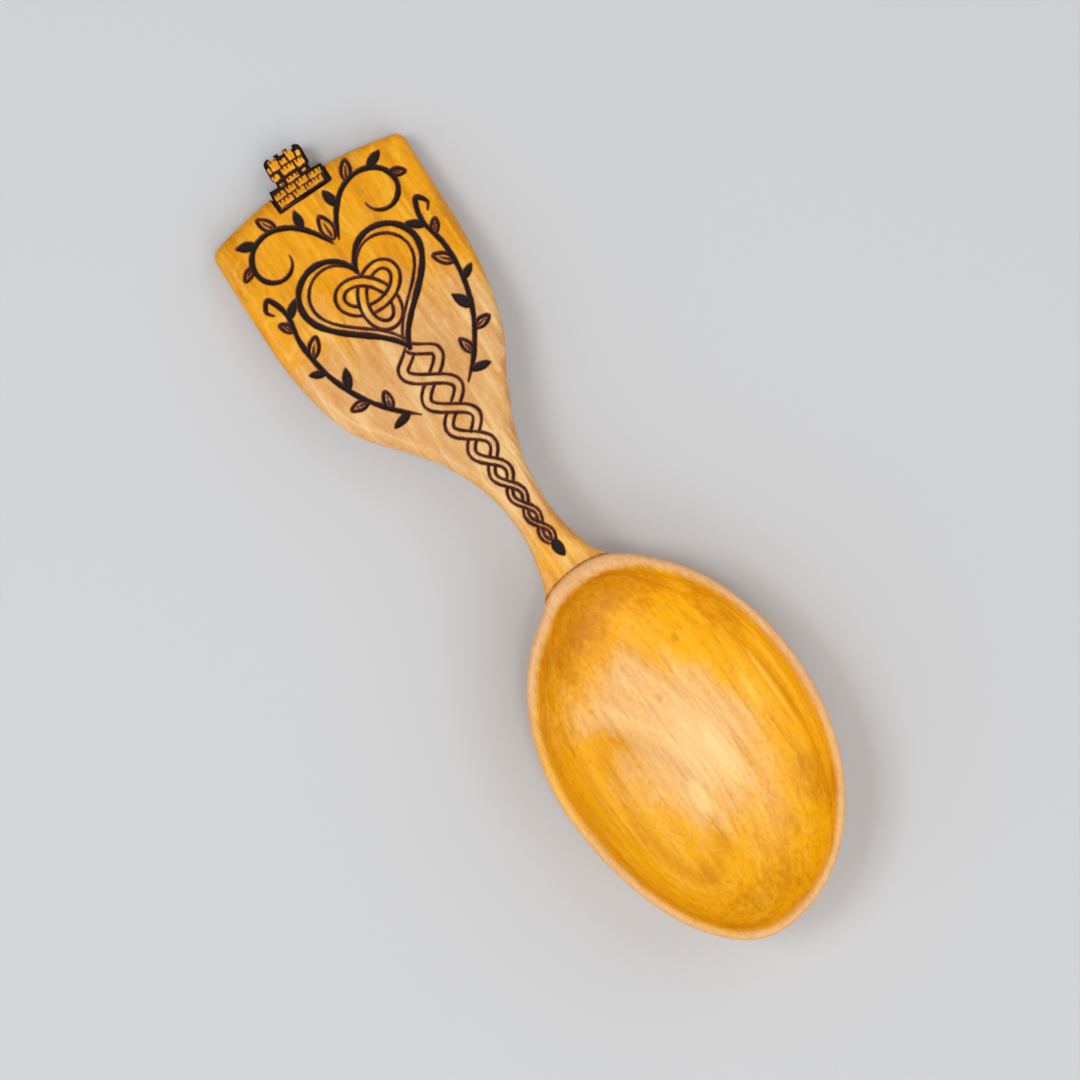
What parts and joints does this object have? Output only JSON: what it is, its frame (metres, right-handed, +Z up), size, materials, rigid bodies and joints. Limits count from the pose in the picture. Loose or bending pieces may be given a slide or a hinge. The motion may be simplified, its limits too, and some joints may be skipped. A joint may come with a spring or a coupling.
{
  "type": "wooden love spoon",
  "caption": "Carved wooden love spoon with a deep oval bowl, a slim stem, a flat shield-shaped panel with burnt ornament, and a battlemented turret on its end.",
  "frame": {"origin": "on the surface that the spoon lies on, under the middle of its bounding box", "axes": "+Y from the bowl towards the turret, +X across to the right as seen from above with the turret up, +Z up out of the bowl"},
  "size_m": [0.0572, 0.1912, 0.02],
  "materials": {
    "oiled_wood": "pale close-grained hardwood, cut with knife and gouge, sanded and oiled to a soft satin; lines burnt in with a hot pen are near black"
  },
  "bodies": {
    "root": {"bowl": "oiled_wood", "stem": "oiled_wood", "panel": "oiled_wood", "turret": "oiled_wood"}
  },
  "joints": []
}
